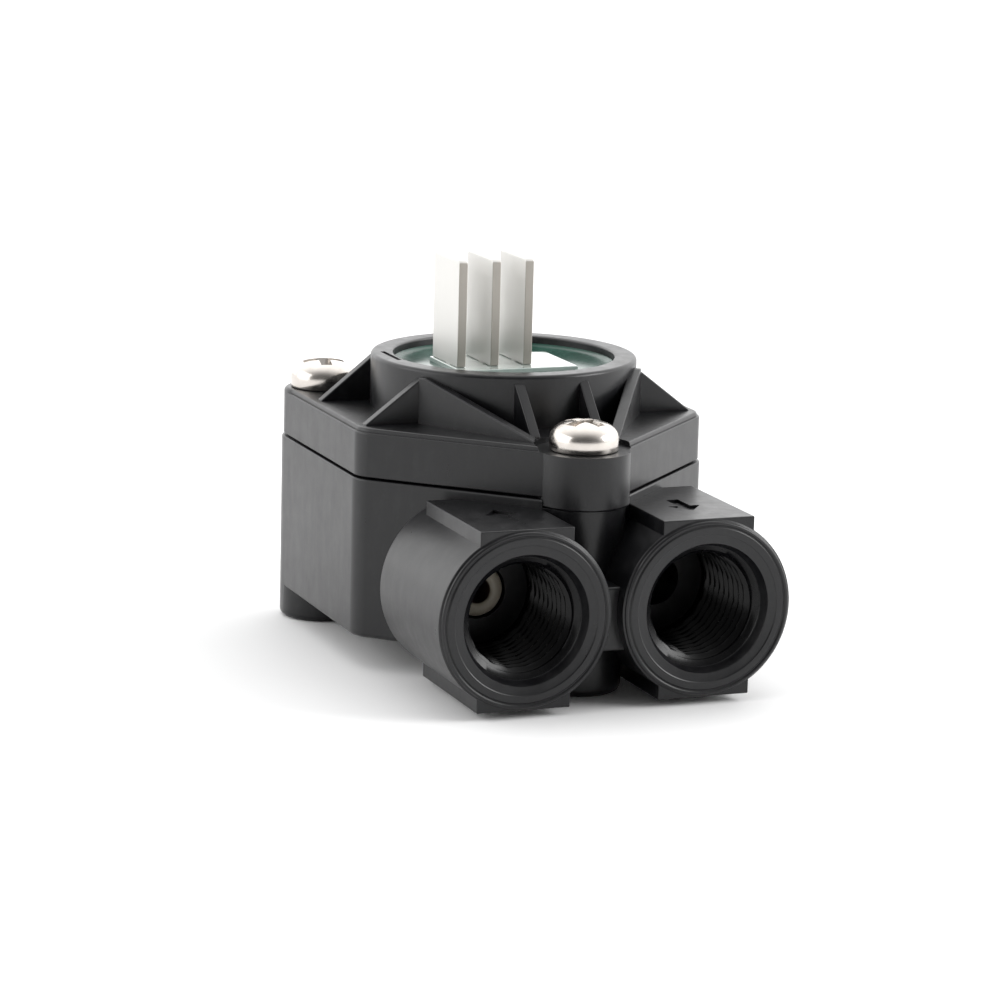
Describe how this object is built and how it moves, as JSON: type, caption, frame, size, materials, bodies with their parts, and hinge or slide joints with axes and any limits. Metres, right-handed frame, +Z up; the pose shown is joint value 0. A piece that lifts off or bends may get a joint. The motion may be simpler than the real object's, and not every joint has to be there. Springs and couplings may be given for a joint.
{
  "type": "turbine flow meter",
  "caption": "Small turbine liquid flow meter: side-by-side threaded ports, screwed cover and a potted sensor board with blade terminals.",
  "frame": {"origin": "centre of the footprint, on the plane the feet stand on", "axes": "+Z up along the wheel's axis, +Y from the ports to the back, +X to the right seen from the ports"},
  "size_m": [0.044, 0.0584, 0.0465],
  "materials": {
    "housing": "moulded black glass-filled plastic",
    "seal": "black nitrile",
    "nozzle": "natural, unpigmented plastic",
    "wheel": "white moulded plastic",
    "axle": "ground stainless steel",
    "magnet": "sintered ferrite",
    "jewel": "polished synthetic jewel",
    "board": "lacquered laminate",
    "chip": "moulded epoxy",
    "ceramic": "fired ceramic",
    "potting": "glossy dark green resin",
    "terminal": "bright tinned brass",
    "screw": "bright nickel-plated steel"
  },
  "bodies": {
    "housing": {"lower_housing": "housing", "cover": "housing", "cover_seal": "seal", "inlet_nozzle": "nozzle", "lower_bearing": "jewel", "upper_bearing": "jewel", "circuit_board": "board", "hall_sensor": "chip", "pull_up_resistor": "chip", "smoothing_capacitor": "ceramic", "potting_compound": "potting", "terminal_supply": "terminal", "terminal_signal": "terminal", "terminal_ground": "terminal", "screw_front": "screw", "screw_rear_left": "screw", "screw_rear_right": "screw"},
    "rotor": {"turbine_wheel": "wheel", "turbine_axle": "axle", "magnet_1": "magnet", "magnet_2": "magnet", "magnet_3": "magnet", "magnet_4": "magnet"}
  },
  "joints": [
    {"name": "wheel_spin", "type": "hinge", "parent": "housing", "child": "rotor", "pos_m": [0, 0.00755, 0.01125], "axis": [0, 0, 1], "continuous": true}
  ]
}
